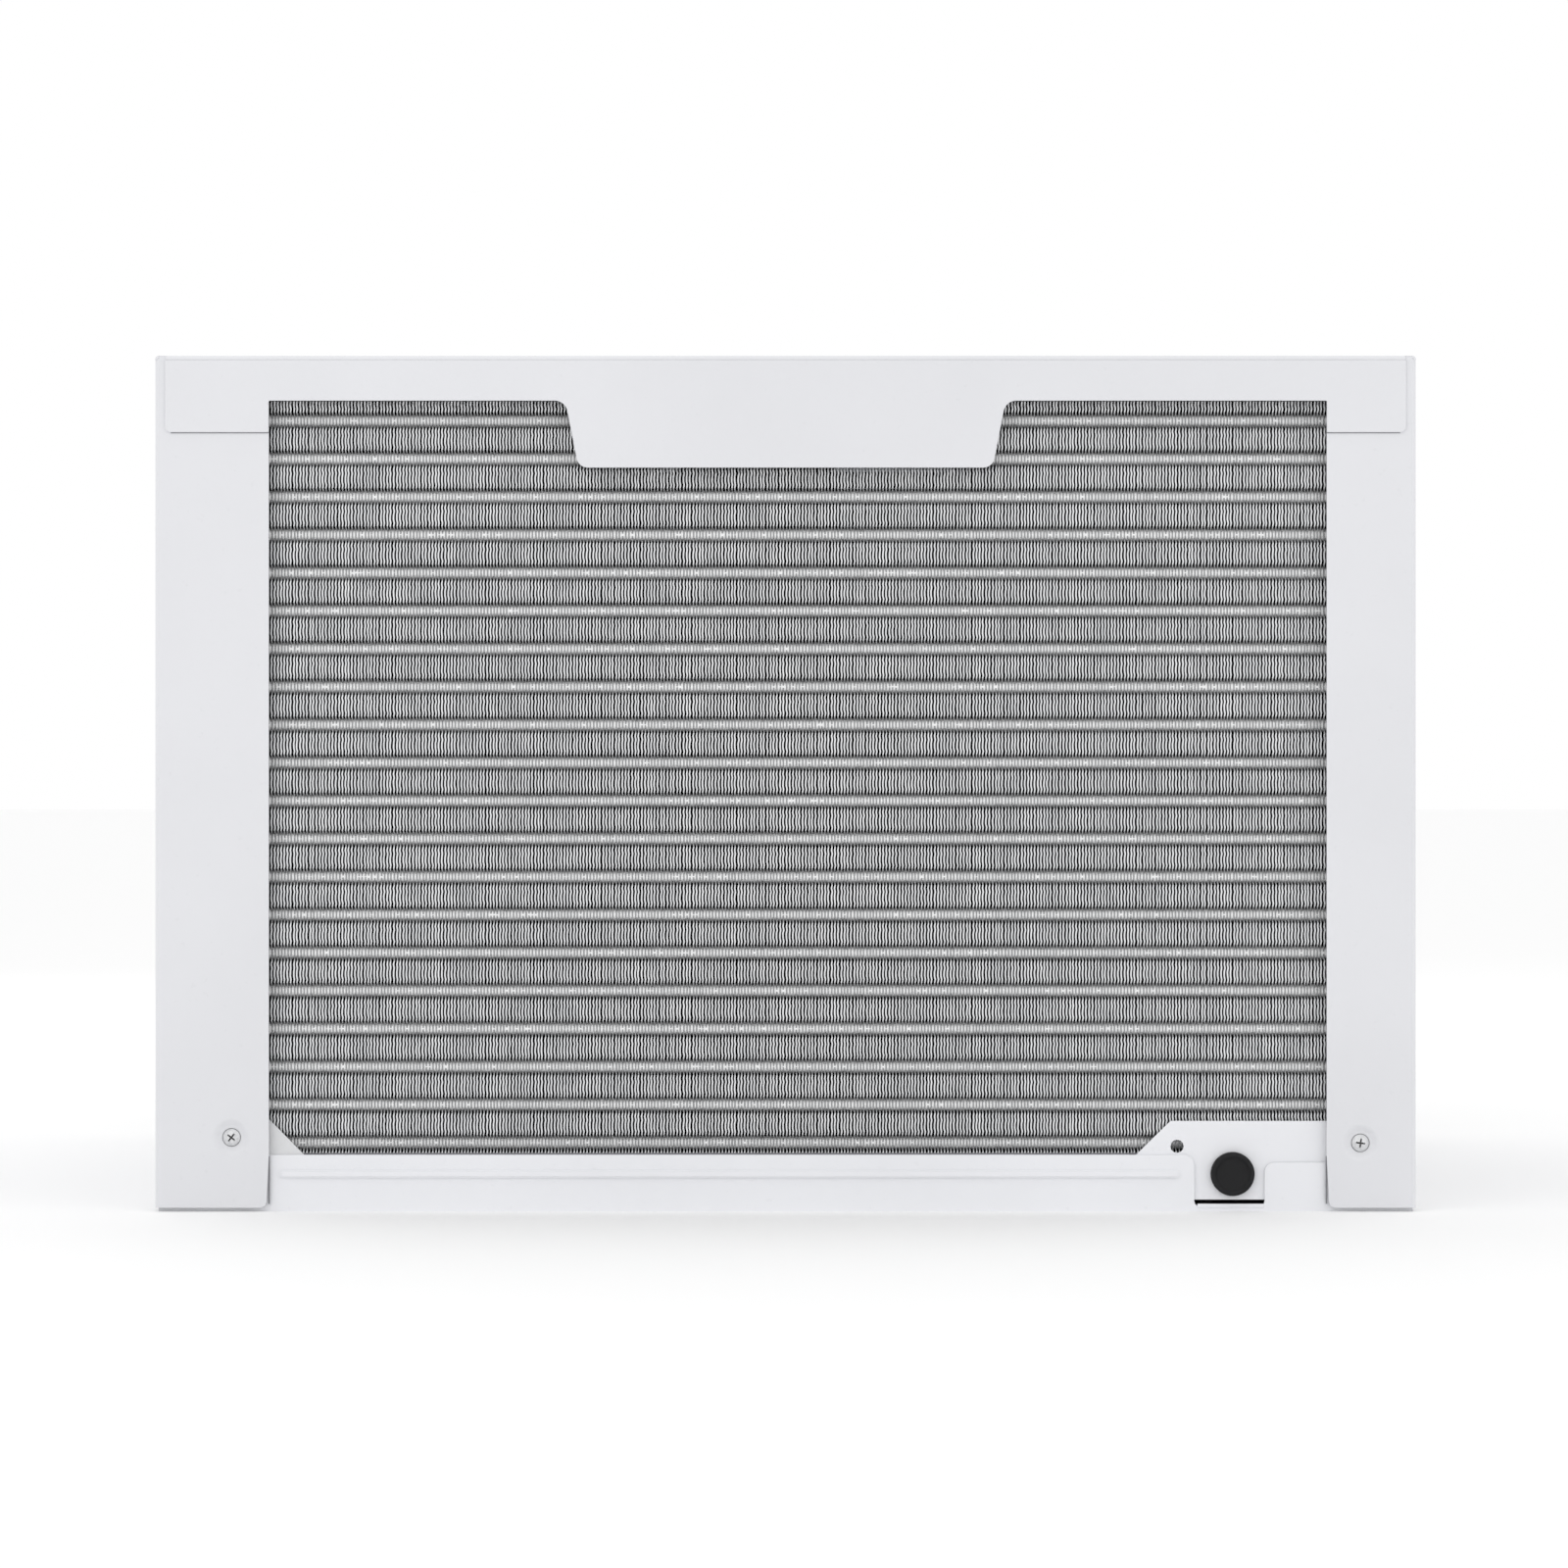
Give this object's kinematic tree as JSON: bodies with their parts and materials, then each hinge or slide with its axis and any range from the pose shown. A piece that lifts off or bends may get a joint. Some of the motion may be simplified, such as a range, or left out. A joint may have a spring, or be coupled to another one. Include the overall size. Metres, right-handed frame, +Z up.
{
  "type": "window air conditioner",
  "caption": "Box-shaped window air conditioner: outdoor coil framed by sheet flanges at the rear, room-side front with grille, louvers and controls, working parts inside.",
  "frame": {"origin": "centre of the footprint at the underside of the base pan", "axes": "+Z up; +Y out of the outdoor coil at the rear; -Y into the room; +X to the right for someone in the room facing the unit"},
  "size_m": [0.66, 0.676, 0.448],
  "materials": {
    "case_paint": "satin off-white baked enamel on zinc-coated steel",
    "pan_paint": "satin off-white baked enamel on zinc-coated steel",
    "galvanised": "bare zinc-coated sheet steel",
    "screw_steel": "bright zinc-plated steel",
    "fin_aluminium": "thin mill-finish aluminium",
    "copper": null,
    "black_rubber": "matt moulded rubber",
    "black_enamel": "semi-gloss black enamel",
    "front_plastic": "fine-grained off-white moulding",
    "grey_plastic": "satin grey moulding",
    "black_plastic": "satin black moulding",
    "white_foam": "moulded bead foam",
    "filter_mesh": "moulded frame with woven mesh",
    "board_green": "solder-masked laminate",
    "smoked_window": "glossy smoked window"
  },
  "bodies": {
    "chassis": {"base_pan": "pan_paint", "cabinet": "case_paint", "rear_screw_left": "screw_steel", "rear_screw_right": "screw_steel", "drain_bracket": "pan_paint", "corner_gusset": "galvanised", "condenser_fins": "fin_aluminium", "condenser_tubes": "copper", "condenser_end_plate_left": "galvanised", "condenser_end_plate_right": "galvanised", "fan_shroud": "black_plastic", "fan_motor": "black_enamel", "motor_bracket": "galvanised", "bulkhead": "galvanised", "scroll_housing": "white_foam", "blower_inlet_ring": "white_foam", "outlet_duct": "white_foam", "evaporator_fins": "fin_aluminium", "evaporator_tubes": "copper", "drip_tray": "white_foam", "compressor_shell": "black_enamel", "compressor_base_plate": "black_enamel", "compressor_foot_1": "black_rubber", "compressor_foot_2": "black_rubber", "compressor_foot_3": "black_rubber", "terminal_cover": "black_plastic", "accumulator": "black_enamel", "discharge_pipe": "copper", "suction_pipe": "copper", "liquid_pipe": "copper", "filter_drier": "copper", "capillary_tube": "copper", "front_bezel": "front_plastic", "control_panel": "grey_plastic", "display_window": "smoked_window", "control_board": "board_green", "control_box": "galvanised", "run_capacitor": "fin_aluminium"},
    "rotor": {"condenser_fan": "black_plastic", "motor_shaft": "screw_steel", "blower_wheel": "black_plastic"},
    "plug": {"drain_plug": "black_rubber"},
    "grille": {"intake_grille": "front_plastic"},
    "filter": {"air_filter": "filter_mesh"},
    "louver_1": {"louver_1": "front_plastic"},
    "louver_2": {"louver_2": "front_plastic"},
    "louver_3": {"louver_3": "front_plastic"},
    "vane_1": {"vane_1": "front_plastic"},
    "vane_2": {"vane_2": "front_plastic"},
    "vane_3": {"vane_3": "front_plastic"},
    "vane_4": {"vane_4": "front_plastic"},
    "vane_5": {"vane_5": "front_plastic"},
    "link": {"vane_link": "grey_plastic"},
    "vent_lever": {"vent_lever": "grey_plastic"},
    "vent_door": {"vent_door": "grey_plastic"},
    "button_power": {"button_power": "front_plastic"},
    "button_mode": {"button_mode": "front_plastic"},
    "button_fan": {"button_fan": "front_plastic"},
    "button_down": {"button_down": "front_plastic"},
    "button_up": {"button_up": "front_plastic"}
  },
  "joints": [
    {"name": "rotor_spin", "type": "hinge", "parent": "chassis", "child": "rotor", "pos_m": [-0.03, 0, 0.224], "axis": [0, 1, 0], "continuous": true},
    {"name": "drain_plug_pull", "type": "slide", "parent": "chassis", "child": "plug", "axis": [0, 1, 0], "range_m": [0, 0.04]},
    {"name": "intake_grille_tilt", "type": "hinge", "parent": "chassis", "child": "grille", "pos_m": [0, -0.334, 0.021], "axis": [1, 0, 0], "range_deg": [0, 75]},
    {"name": "air_filter_slide", "type": "slide", "parent": "chassis", "child": "filter", "axis": [1, 0, 0], "range_m": [0, 0.6]},
    {"name": "louver_1_tilt", "type": "hinge", "parent": "chassis", "child": "louver_1", "pos_m": [0, -0.321, 0.35], "axis": [1, 0, 0], "range_deg": [-35, 35]},
    {"name": "louver_2_tilt", "type": "hinge", "parent": "chassis", "child": "louver_2", "pos_m": [0, -0.321, 0.382], "axis": [1, 0, 0], "range_deg": [-35, 35]},
    {"name": "louver_3_tilt", "type": "hinge", "parent": "chassis", "child": "louver_3", "pos_m": [0, -0.321, 0.414], "axis": [1, 0, 0], "range_deg": [-35, 35]},
    {"name": "vane_1_turn", "type": "hinge", "parent": "chassis", "child": "vane_1", "pos_m": [-0.259, -0.29, 0.38], "axis": [0, 0, 1], "range_deg": [-35, 35]},
    {"name": "vane_2_turn", "type": "hinge", "parent": "chassis", "child": "vane_2", "pos_m": [-0.175, -0.29, 0.38], "axis": [0, 0, 1], "range_deg": [-35, 35]},
    {"name": "vane_3_turn", "type": "hinge", "parent": "chassis", "child": "vane_3", "pos_m": [-0.091, -0.29, 0.38], "axis": [0, 0, 1], "range_deg": [-35, 35]},
    {"name": "vane_4_turn", "type": "hinge", "parent": "chassis", "child": "vane_4", "pos_m": [-0.007, -0.29, 0.38], "axis": [0, 0, 1], "range_deg": [-35, 35]},
    {"name": "vane_5_turn", "type": "hinge", "parent": "chassis", "child": "vane_5", "pos_m": [0.077, -0.29, 0.38], "axis": [0, 0, 1], "range_deg": [-35, 35]},
    {"name": "vane_link_swing", "type": "hinge", "parent": "vane_3", "child": "link", "pos_m": [-0.091, -0.276, 0.34], "axis": [0, 0, 1], "range_deg": [-35, 35]},
    {"name": "vent_lever_slide", "type": "slide", "parent": "chassis", "child": "vent_lever", "axis": [1, 0, 0], "range_m": [0, 0.024]},
    {"name": "vent_door_swing", "type": "hinge", "parent": "chassis", "child": "vent_door", "pos_m": [0.086, -0.0813, 0.408], "axis": [1, 0, 0], "range_deg": [0, 41.3]},
    {"name": "button_power_press", "type": "slide", "parent": "chassis", "child": "button_power", "axis": [0, 1, 0], "range_m": [0, 0.0015], "stiffness_N_per_m": 400},
    {"name": "button_mode_press", "type": "slide", "parent": "chassis", "child": "button_mode", "axis": [0, 1, 0], "range_m": [0, 0.0015], "stiffness_N_per_m": 400},
    {"name": "button_fan_press", "type": "slide", "parent": "chassis", "child": "button_fan", "axis": [0, 1, 0], "range_m": [0, 0.0015], "stiffness_N_per_m": 400},
    {"name": "button_down_press", "type": "slide", "parent": "chassis", "child": "button_down", "axis": [0, 1, 0], "range_m": [0, 0.0015], "stiffness_N_per_m": 400},
    {"name": "button_up_press", "type": "slide", "parent": "chassis", "child": "button_up", "axis": [0, 1, 0], "range_m": [0, 0.0015], "stiffness_N_per_m": 400}
  ],
  "couplings": [
    {"joint": "louver_2_tilt", "follows": "louver_1_tilt", "ratio": 1},
    {"joint": "louver_3_tilt", "follows": "louver_1_tilt", "ratio": 1},
    {"joint": "vane_1_turn", "follows": "vane_3_turn", "ratio": 1},
    {"joint": "vane_2_turn", "follows": "vane_3_turn", "ratio": 1},
    {"joint": "vane_4_turn", "follows": "vane_3_turn", "ratio": 1},
    {"joint": "vane_5_turn", "follows": "vane_3_turn", "ratio": 1},
    {"joint": "vane_link_swing", "follows": "vane_3_turn", "ratio": -1},
    {"joint": "vent_door_swing", "follows": "vent_lever_slide", "rad_per_m": 30}
  ]
}
